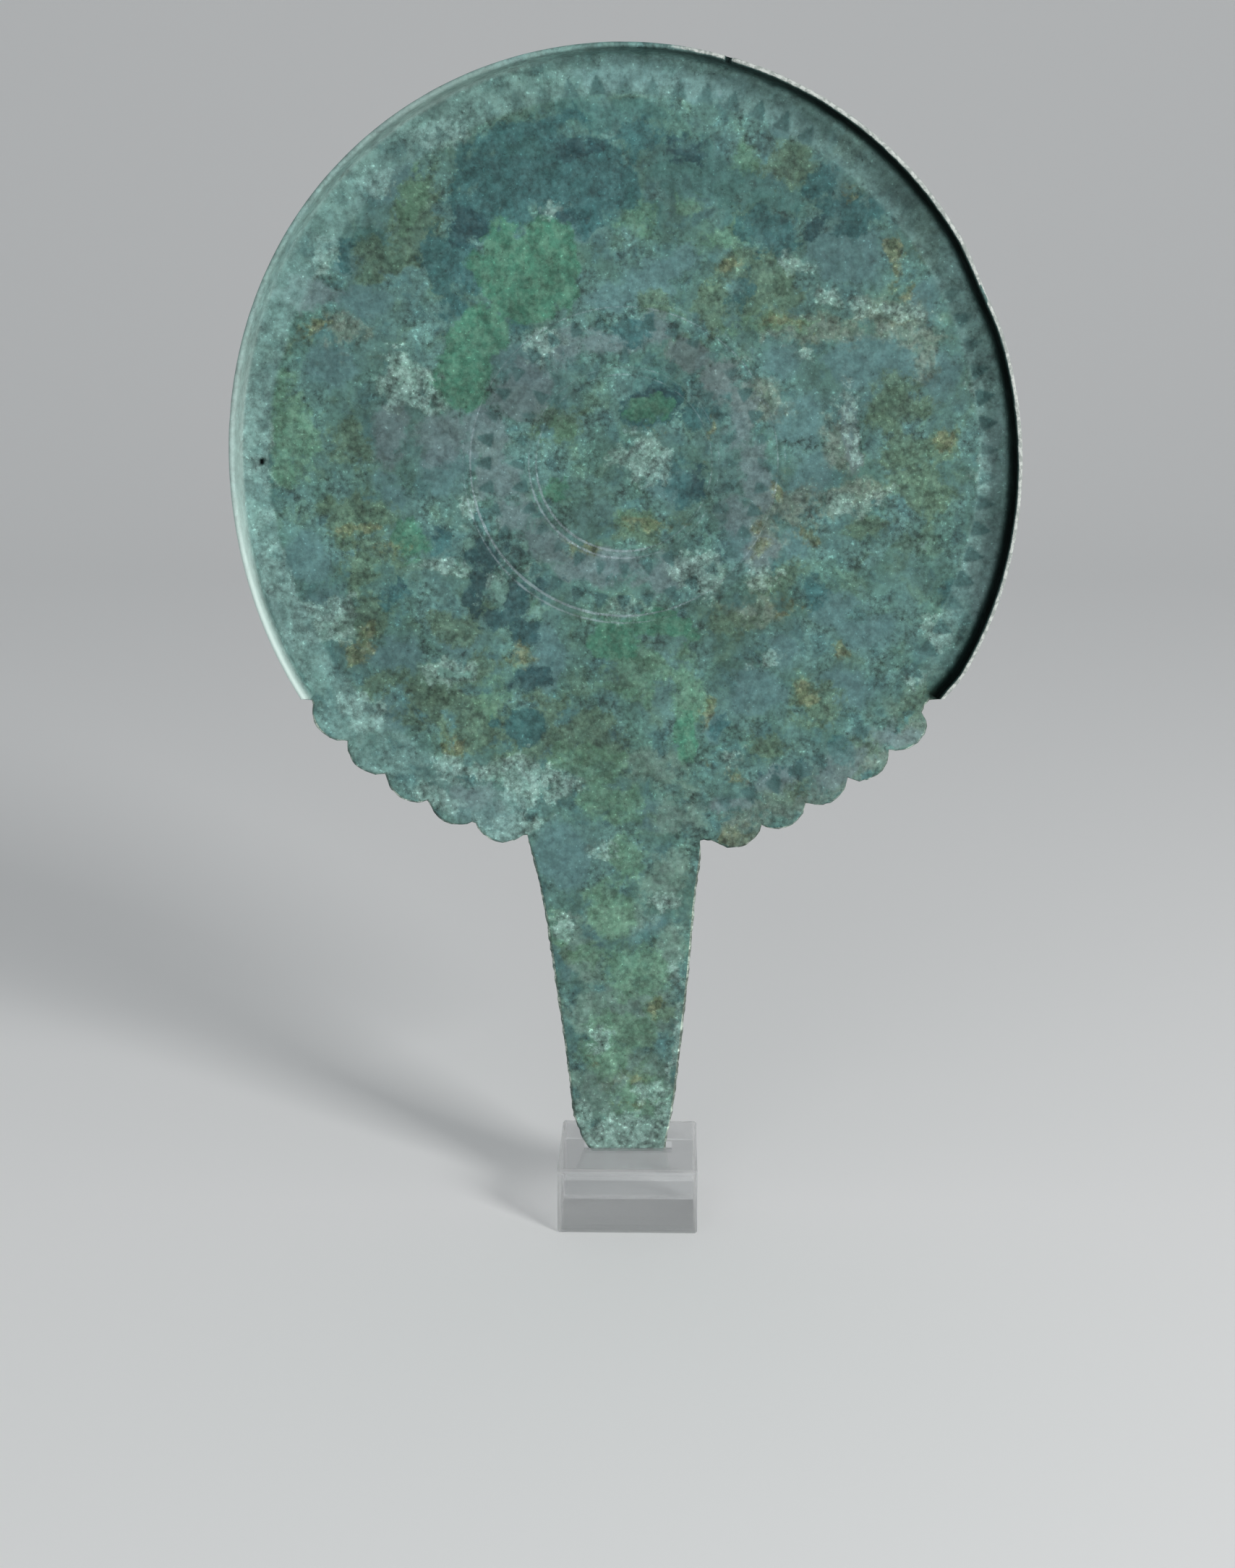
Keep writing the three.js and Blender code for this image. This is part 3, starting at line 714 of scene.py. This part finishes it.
def finish_front(vert, layer):
    """Says how far the painted shade, the lime with painted light and the nick's crack reach on
    everything that faces the front.
    """
    angle, radius, inset, aside = rim_facts(vert, LIP_NICK["at"])
    flanged = vert.co.z > FLANGE_END_Z - 0.5
    inside = smooth(*INNER_WALL, inset) * flanged
    # Painted shade on the flange's inner wall and the band beside it, darkest on the right, where the
    # wall faces away from the light.
    signed = (angle + 180) % 360 - 180
    nearer = inset + SHADE_NARROW * smooth(*SHADE_TOP, signed)
    painted_dark = between(SHADE_RUN, signed) * smooth(*SHADE_FADE, nearer)
    vert[layer["painted_shade"]] = max(painted_dark * inside, vert[layer["painted_shade"]])
    # Lime and painted light: paler on the band beside the left wall and towards the foot, and white on
    # the left inner wall where it faces the light.
    paled = smooth(PALE_BAND["spread"], PALE_BAND["full"], away(angle, PALE_BAND["at"]))
    paled *= smooth(*PALE_BAND_START, radius)
    foot = smooth(PALE_FOOT["high"], PALE_FOOT["low"], vert.co.z)
    reach = between(LIME_AND_LIGHT_REACH, angle)
    limed_and_lit = between(LIME_AND_LIGHT_RUN, angle) * smooth(reach, reach - LIME_AND_LIGHT_THINS, inset) * flanged
    if inset < LIP_HIGHLIGHT_INSETS[1] / 2:
        limed_and_lit *= smooth(*LIME_AND_LIGHT_OUTSIDE, vert.co.y - LIP_Y)
    vert[layer["lime_and_light"]] = max(PALE_BAND["amount"] * paled, PALE_FOOT["amount"] * foot, limed_and_lit)
    crack = smooth(*CRACK_WIDTH, aside) * smooth(CRACK_START, CRACK_START + CRACK_LENGTH, radius) * inside
    vert[layer["line"]] = max(crack * CRACK_PALE, vert[layer["line"]])


def wear_surface(form):
    """Cuts the engraving and raises the corrosion crust, by moving each vertex along its normal."""
    names = ("sunk", "line", "band", "rim", "lip", "painted_shade", "lime_and_light")
    layer = {name: form.verts.layers.float.new(name) for name in names}
    low, high = (Vector(point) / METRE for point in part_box("mirror"))
    pit_turn = math.radians(PIT["at"])
    pit_arm = Vector((math.cos(pit_turn), 0, math.sin(pit_turn))) * PIT["radius"]
    pit_place = Vector((ENGRAVING_X, FRONT_Y, ENGRAVING_Z)) + pit_arm
    for vert in form.verts:
        radius = ring_distance(vert.co.x, vert.co.z)
        height = crust(vert.co)
        beside = smooth(*BAND_GAP, abs(vert.co.x - DISC_X)) if vert.co.z < ENGRAVING_Z else 1
        turn = math.degrees(math.atan2(vert.co.z - ENGRAVING_Z, vert.co.x - ENGRAVING_X)) % 360
        for at, spread, dulled in BAND_DULL:
            beside *= 1 - dulled * smooth(spread, spread / 3, away(turn, at))
        vert[layer["band"]] = smooth(*BAND_PALE, radius) * beside
        if on_front(vert):
            tongue = tongue_depth(vert.co.x, vert.co.z, radius)
            groove = groove_depth(radius)
            worn = how_worn(vert.co)
            vert[layer["sunk"]] = tongue * min(worn, 1)
            clear = LINES_LEAST + (1 - LINES_LEAST) * smooth(*LINES_FADE, away(turn, LINES_CLEAR))
            vert[layer["line"]] = smooth(*LINE_CORE, groove) * clear
            height -= CUT_DEPTH * max(tongue * worn, groove, 0)
            pit = smooth(PIT["size"], PIT["size"] / 2, (vert.co - pit_place).length)
            height -= PIT["depth"] * pit
            # The pit is painted dark as shade.
            vert[layer["painted_shade"]] = pit
            vert.co.y -= height
        elif vert.co.y < FRONT_Y - FACE_BAND:
            finish_flange(vert, layer)
            vert.co += vert.normal * (LIP_CRUST * height - LIP_EASE)
            vert.co.y += nick_drop(vert) - burr(vert)
        else:
            edge = EDGE_CRUST * noise.fractal(vert.co * 0.8, 0.8, FINER, 3) - EDGE_EASE
            on_edge = abs(vert.co.y) < BACK_Y - 0.05
            # The handle's right edge faces the light and gets the fullest pale crust, partly a painted
            # highlight.
            handle_right = vert.co.z < HANDLE_RIGHT[0][1] - 2 and vert.co.x > DISC_X
            vert[layer["rim"]] = on_edge * (HANDLE_EDGE_CRUST_AND_HIGHLIGHT if handle_right else EDGE_PALE)
            vert.co += vert.normal * (height + (edge if on_edge else 0))
        if vert.co.y < FRONT_Y + FACE_BAND:
            finish_front(vert, layer)
        for axis in range(3):
            vert.co[axis] = min(max(vert.co[axis], low[axis]), high[axis])


def patinated_mirror():
    """The whole mirror, in the CAD mirror's place."""
    form = bare_disc()
    shape_rim(form)
    grow_handle(form)
    bmesh.ops.remove_doubles(form, verts=form.verts, dist=WELD)
    bmesh.ops.recalc_face_normals(form, faces=form.faces)
    form.normal_update()
    wear_surface(form)
    mesh = bpy.data.meshes.new("patinated_mirror")
    form.to_mesh(mesh)
    form.free()
    lay_patches(mesh)
    mesh.transform(Matrix.Scale(METRE, 4))
    mesh.shade_smooth()
    piece = placed("patinated_mirror", mesh)
    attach(piece, "root")
    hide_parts("mirror")
    return piece


# ---- materials ----

class Recipe:
    """A material's node tree, built by short calls that each return an output socket."""

    def __init__(self, name):
        self.material = bpy.data.materials.new(name)
        self.material.use_nodes = True
        self.tree = self.material.node_tree
        self.shader = self.tree.nodes["Principled BSDF"]
        self.place = self.node("ShaderNodeTexCoord", {}).outputs["Object"]

    def feed(self, socket, value):
        """Links an output to a socket, or sets the socket to a plain value."""
        if isinstance(value, bpy.types.NodeSocket):
            self.tree.links.new(value, socket)
        else:
            socket.default_value = value

    def node(self, kind, inputs, **settings):
        """A new node with its settings made and its named inputs fed."""
        made = self.tree.nodes.new(kind)
        for name, value in settings.items():
            setattr(made, name, value)
        for name, value in inputs.items():
            self.feed(made.inputs[name], value)
        return made

    def use(self, name, value):
        """Gives the shader's own socket a value or a pattern."""
        self.feed(self.shader.inputs[name], value)

    def grain(self, size, detail=3, roughness=0.55, warp=0, shift=0):
        """Fractal noise from 0 to 1, with features about this many millimetres across.

        A shift takes the noise from another part of space, so that two grains differ.
        """
        offset = (SHIFT_STEP * shift, 0.0, SHIFT_STEP * shift)
        moved = self.node("ShaderNodeVectorMath", {0: self.place, 1: offset}, operation="ADD")
        inputs = {
            "Vector": moved.outputs["Vector"], "Scale": 1 / (size * METRE), "Detail": float(detail),
            "Roughness": roughness, "Distortion": float(warp),
        }
        return self.node("ShaderNodeTexNoise", inputs, noise_dimensions="3D").outputs["Fac"]

    def cells(self, size):
        """How far each place is from the nearest of many scattered points."""
        inputs = {"Vector": self.place, "Scale": 1 / (size * METRE)}
        return self.node("ShaderNodeTexVoronoi", inputs, feature="F1").outputs["Distance"]

    def painted(self, name):
        """The number written at the mesh's vertices under a name."""
        return self.node("ShaderNodeAttribute", {}, attribute_name=name).outputs["Fac"]

    def worked(self, operation, first, second=0.0):
        """The outcome of one of the Math node's operations."""
        return self.node("ShaderNodeMath", {0: first, 1: second}, operation=operation).outputs[0]

    def add(self, first, second):
        return self.worked("ADD", first, second)

    def times(self, first, second):
        return self.worked("MULTIPLY", first, second)

    def step(self, value, low, high, start=0.0, end=1.0):
        """A soft step from start to end as value goes from low to high."""
        inputs = {"Value": value, "From Min": low, "From Max": high, "To Min": start, "To Max": end}
        return self.node("ShaderNodeMapRange", inputs, interpolation_type="SMOOTHSTEP").outputs["Result"]

    def mixed(self, first, second, amount, **settings):
        inputs = {"Factor": amount, "A": first, "B": second}
        return self.node("ShaderNodeMix", inputs, **settings).outputs["Result"]

    def blend(self, first, second, amount):
        """A number between two numbers, nearer the second as the amount goes from 0 to 1."""
        return self.mixed(first, second, amount, data_type="FLOAT")

    def over(self, under, colour, amount):
        """One colour laid over another by an amount from 0 to 1."""
        pair = [(*shade, 1) if isinstance(shade, tuple) else shade for shade in (under, colour)]
        return self.mixed(*pair, amount, data_type="RGBA")

    def shaded(self, colour, brightness):
        """A colour made darker or lighter, where brightness 1 leaves it as it is."""
        return self.mixed(colour, brightness, 1.0, data_type="RGBA", blend_type="MULTIPLY")

    def bump(self, height, distance):
        """Raises the surface by height times a distance in millimetres."""
        inputs = {"Height": height, "Distance": distance * METRE}
        return self.node("ShaderNodeBump", inputs).outputs["Normal"]


# Each finish's dark and light shade, how far its border frays, how soft the border is, its cover,
# how gritty it is, and how bright.
FINISHES = {
    "azure": ((0.076, 0.164, 0.168), (0.1, 0.206, 0.206), 1.2, 0.7, 0.8, 0.3, 1.0),
    "sage": ((0.104, 0.186, 0.148), (0.136, 0.222, 0.184), 1.4, 0.9, 0.8, 0.55, 1.06),
    "teal": ((0.048, 0.136, 0.126), (0.066, 0.168, 0.154), 1.6, 0.8, 0.75, 0.4, 1.0),
    "umber": ((0.098, 0.142, 0.106), (0.165, 0.21, 0.168), 1.7, 0.9, 0.66, 0.8, 1.0),
    "olive": ((0.07, 0.132, 0.088), (0.1, 0.174, 0.114), 1.6, 0.6, 0.75, 0.85, 0.94),
    "spring": ((0.086, 0.198, 0.125), (0.12, 0.238, 0.158), 1.4, 0.7, 0.65, 0.65, 1.02),
    "mauve": ((0.11, 0.164, 0.172), (0.142, 0.205, 0.212), 1.3, 0.7, 0.7, 0.4, 1.0),
    "deep": ((0.032, 0.112, 0.116), (0.05, 0.144, 0.146), 1.7, 0.6, 0.84, 0.6, 0.9),
    "navy": ((0.02, 0.066, 0.074), (0.04, 0.098, 0.104), 1.3, 0.5, 0.88, 0.6, 0.9),
    "emerald": ((0.052, 0.178, 0.118), (0.088, 0.22, 0.15), 0.8, 0.3, 0.92, 0.55, 0.98),
    "rust": ((0.088, 0.12, 0.062), (0.145, 0.166, 0.095), 1.5, 0.6, 0.75, 1.0, 1.04),
    "chalk": ((0.12, 0.205, 0.178), (0.2, 0.31, 0.278), 1.7, 0.6, 0.72, 1.1, 1.12),
    "mint": ((0.112, 0.226, 0.188), (0.15, 0.29, 0.25), 0.5, 0.25, 0.92, 0.35, 1.0),
}
GROUND = ((0.066, 0.15, 0.124), (0.088, 0.186, 0.17), (0.098, 0.18, 0.13), (0.05, 0.13, 0.13))
BAND_COLOUR, LINE_COLOUR, SUNK_COLOUR = (0.155, 0.268, 0.252), (0.235, 0.3, 0.32), (0.044, 0.108, 0.104)
EDGE_COLOURS = ((0.17, 0.2, 0.16), (0.42, 0.48, 0.41))
# Painted shade is nearly black; lime and painted light are a pale green-white.
PAINTED_SHADE_COLOUR, LIME_AND_LIGHT_COLOUR = (0.0015, 0.003, 0.003), (0.7, 0.86, 0.8)
# The lip's painted highlight, in two shades of pale metal grey.
LIP_HIGHLIGHT_COLOURS = ((0.34, 0.37, 0.345), (0.62, 0.65, 0.61))


def patina():
    """Mineral corrosion in many greens and blues, in patches, with fine grains and pores."""
    recipe = Recipe("patina")
    over, step, add, times = recipe.over, recipe.step, recipe.add, recipe.times
    grain, painted = recipe.grain, recipe.painted
    broad = grain(14, detail=3, warp=0.8)
    cloud = grain(5, detail=4, roughness=0.6, warp=0.4, shift=3)
    fine = grain(0.9, detail=3, roughness=0.65, shift=5)
    crumb = grain(2.6, detail=5, roughness=0.8, shift=7)
    grains = recipe.cells(1.15)
    colour = over(GROUND[0], GROUND[1], step(broad, 0.36, 0.62))
    colour = over(colour, GROUND[2], step(cloud, 0.48, 0.66, 0.0, 0.6))
    colour = over(colour, GROUND[3], step(cloud, 0.46, 0.32, 0.0, 0.7))
    grit = step(grain(9, detail=4, roughness=0.7, shift=9), 0.42, 0.58, 0.4, 1.1)
    bright = step(grain(22, detail=4, shift=13), 0.34, 0.66, 0.8, 1.15)
    # The noises that fray the borders run from -0.5 to 0.5.
    fray = add(add(cloud, -0.5), times(add(fine, -0.5), 0.35))
    ragged_edge = times(add(crumb, -0.5), 1.2)
    for number, (name, finish) in enumerate(FINISHES.items()):
        dark, light, ragged, soft, cover, own_grit, own_bright = finish
        own = grain(1.8, detail=2, roughness=0.6, shift=11 + 3 * number)
        shade = over(dark, light, step(own, 0.38, 0.64))
        edge = add(painted(name), times(fray, ragged * 2.2))
        colour = over(colour, shade, step(edge, 0.1 - soft / 2, 0.1 + soft / 2, 0.0, cover))
        crisp = step(add(edge, ragged_edge), 0.02, 0.22)
        grit = recipe.blend(grit, own_grit, crisp)
        bright = times(bright, step(crisp, 0, 1, 1.0, own_bright))
    # The rim's paler band, the rings' lines, the sunk tongues and the crusted edges, palest on the
    # handle's right edge as a painted highlight.
    pale = step(add(painted("band"), times(fray, 1.2)), 0.2, 0.9)
    colour = over(colour, BAND_COLOUR, times(pale, 0.68))
    grit = recipe.blend(grit, 0.4, times(pale, 0.6))
    bright = times(bright, step(pale, 0, 1, 1.0, 1.1))
    line = add(painted("line"), times(ragged_edge, 0.8))
    colour = over(colour, LINE_COLOUR, step(line, 0.25, 0.7, 0.0, 0.6))
    hollow = add(painted("sunk"), times(fray, 0.7))
    colour = over(colour, SUNK_COLOUR, step(hollow, 0.15, 0.75, 0.0, 0.85))
    crust = add(painted("rim"), times(ragged_edge, 1.2))
    pale_crust = over(*EDGE_COLOURS, step(crumb, 0.48, 0.6))
    colour = over(colour, pale_crust, step(crust, 0.35, 0.8, 0.0, 0.75))
    # Grains, pale flecks and pores make all of it darker or lighter.
    mottle = times(step(crumb, 0.3, 0.7, -0.4, 0.5), add(grit, 0.4))
    speck = times(step(grains, 0.75, 0.1, -0.15, 0.26), grit)
    bright = times(bright, add(add(mottle, speck), 1.0))
    fleck = add(grain(0.7, detail=2, roughness=0.5, shift=41), times(grit, 0.06))
    fleck = step(add(fleck, times(add(crumb, -0.5), 0.4)), 0.69, 0.78)
    bright = times(bright, step(fleck, 0, 1, 1.0, 1.7))
    pores = add(grain(0.85, detail=2, roughness=0.5, shift=47), times(grit, -0.05))
    pores = step(add(pores, times(add(crumb, -0.5), 0.3)), 0.30, 0.22)
    bright = times(bright, step(pores, 0, 1, 1.0, 0.65))
    colour = recipe.shaded(colour, bright)
    # Painted shade, lime with painted light, and the lip's painted highlight lie on top.
    painted_shade = painted("painted_shade")
    colour = over(colour, PAINTED_SHADE_COLOUR, painted_shade)
    lime_and_light = times(painted("lime_and_light"), add(times(ragged_edge, 0.5), 1.0))
    colour = over(colour, LIME_AND_LIGHT_COLOUR, step(lime_and_light, 0.0, 1.0, 0.0, 0.92))
    lip = add(painted("lip"), times(ragged_edge, 0.9))
    lip_highlight = over(*LIP_HIGHLIGHT_COLOURS, step(fine, 0.4, 0.6))
    colour = over(colour, lip_highlight, step(lip, 0.35, 0.7, 0.0, 0.92))
    recipe.use("Base Color", colour)
    recipe.use("Roughness", step(cloud, 0.3, 0.7, 0.62, 0.86))
    recipe.use("Specular IOR Level", step(painted_shade, 0.0, 1.0, 0.4, 0.05))
    relief = add(times(crumb, 0.8), times(grains, -0.4))
    recipe.use("Normal", recipe.bump(relief, 0.14))
    return recipe.material


ACRYLIC_COLOURS = ((0.84, 0.865, 0.88), (0.87, 0.89, 0.90))


def clear_acrylic():
    """Polished clear acrylic, a little greasy with handling, with bright frosted edges."""
    recipe = Recipe("clear_acrylic")
    inputs = {
        "Vector": recipe.place, "Location": (BLOCK_X * METRE, 0, BLOCK_HEIGHT * METRE / 2),
        "Rotation": (0, 0, math.radians(BLOCK_YAW)),
    }
    turned_back = recipe.node("ShaderNodeMapping", inputs, vector_type="TEXTURE").outputs["Vector"]
    parts = recipe.node("ShaderNodeSeparateXYZ", {"Vector": turned_back}).outputs
    x, y, z = (recipe.worked("ABSOLUTE", parts[axis]) for axis in "XYZ")
    z = recipe.add(z, (BLOCK_WIDTH - BLOCK_HEIGHT) * METRE / 2)
    corner_sum = recipe.add(x, y)
    for side in (x, y):
        corner_sum = recipe.worked("MAXIMUM", corner_sum, recipe.add(side, z))
    frost = recipe.step(
        corner_sum, (BLOCK_WIDTH - FROST_WIDTH) * METRE, (BLOCK_WIDTH - FROST_WIDTH / 2) * METRE)
    haze = recipe.grain(7, detail=3)
    body = recipe.over(*ACRYLIC_COLOURS, haze)
    recipe.use("Base Color", recipe.over(body, (1.0, 1.0, 1.0), frost))
    polish = recipe.step(haze, 0.45, 0.75, 0.015, 0.05)
    recipe.use("Roughness", recipe.blend(polish, 0.6, frost))
    recipe.use("IOR", 1.49)
    recipe.use("Transmission Weight", 1.0)
    recipe.use("Alpha", 0.6)
    return recipe.material


def floor_paint():
    recipe = Recipe("floor")
    recipe.use("Base Color", (*FLOOR_COLOUR, 1))
    recipe.use("Roughness", 0.9)
    return recipe.material


# ---- camera, floor and light ----

def make_camera():
    lens = bpy.data.cameras.new("camera")
    lens.lens = CAMERA_LENS
    lens.sensor_width = 36
    lens.clip_start, lens.clip_end = 0.01, 20
    camera = placed("camera", lens)
    camera.location = CAMERA_PLACE
    camera.rotation_euler = (math.radians(CAMERA_TILT), 0, 0)
    bpy.context.scene.camera = camera


def soft_light(name, place, size, watts):
    """A rectangular lamp that faces the middle of the mirror."""
    lamp = bpy.data.lights.new(name, "AREA")
    lamp.shape = "RECTANGLE"
    lamp.size, lamp.size_y = size
    lamp.energy = watts
    light = placed(name, lamp)
    light.location = place
    light.rotation_euler = (Vector(LIT_MIDDLE) - Vector(place)).to_track_quat("-Z", "Y").to_euler()


def make_studio():
    """A pale floor that sweeps up behind the mirror, and soft light."""
    form = bmesh.new()
    chain = [form.verts.new((-SWEEP_WIDTH / 2, -SWEEP_WIDTH / 2, 0))]
    for step in range(SWEEP_STEPS + 1):
        turn = math.pi / 2 * step / SWEEP_STEPS
        y, z = SWEEP_START + SWEEP_RADIUS * math.sin(turn), SWEEP_RADIUS * (1 - math.cos(turn))
        chain.append(form.verts.new((-SWEEP_WIDTH / 2, y, z)))
    chain.append(form.verts.new((-SWEEP_WIDTH / 2, SWEEP_START + SWEEP_RADIUS, SWEEP_TOP)))
    edges = [form.edges.new(pair) for pair in zip(chain, chain[1:])]
    made = bmesh.ops.extrude_edge_only(form, edges=edges)["geom"]
    verts = [item for item in made if isinstance(item, bmesh.types.BMVert)]
    bmesh.ops.translate(form, verts=verts, vec=(SWEEP_WIDTH, 0, 0))
    bmesh.ops.recalc_face_normals(form, faces=form.faces)
    mesh = bpy.data.meshes.new("floor")
    form.to_mesh(mesh)
    form.free()
    mesh.shade_smooth()
    mesh.materials.append(floor_paint())
    floor = placed("floor", mesh)
    world = bpy.data.worlds.new("studio")
    world.use_nodes = True
    backing = world.node_tree.nodes["Background"]
    backing.inputs["Color"].default_value = (*SKY_COLOUR, 1)
    backing.inputs["Strength"].default_value = SKY_STRENGTH
    bpy.context.scene.world = world
    for lamp in LAMPS:
        soft_light(*lamp)
    bpy.context.scene.view_settings.view_transform = "Standard"


# ---- the scene ----

make_camera()
make_studio()
mirror = patinated_mirror()
mirror.data.materials.append(patina())
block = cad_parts["display_block"]
block.data.materials.clear()
block.data.materials.append(clear_acrylic())
